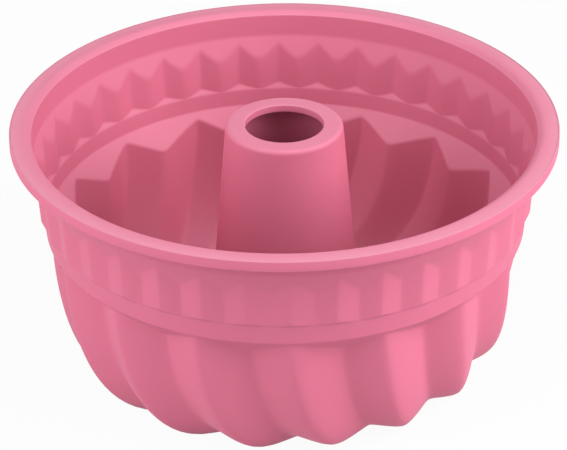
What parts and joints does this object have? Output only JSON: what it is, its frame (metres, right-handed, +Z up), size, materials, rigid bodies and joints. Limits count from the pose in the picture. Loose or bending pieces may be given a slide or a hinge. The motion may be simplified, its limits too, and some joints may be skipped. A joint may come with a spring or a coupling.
{
  "type": "fluted tube pan",
  "caption": "Round silicone baking mould with a flat rim, a pleated band above swirling deep flutes and a hollow centre tube, for ring cakes.",
  "frame": {"origin": "centre of the plane that the lobes of the base stand on", "axes": "+Z up along the tube's axis, with a pleat ridge and a flute ridge at the belt on +X"},
  "size_m": [0.22, 0.22, 0.105],
  "materials": {
    "silicone": "satin pink silicone",
    "steel_wire": "drawn wire"
  },
  "bodies": {
    "root": {"silicone_pan": "silicone", "rim_wire": "steel_wire"}
  },
  "joints": []
}
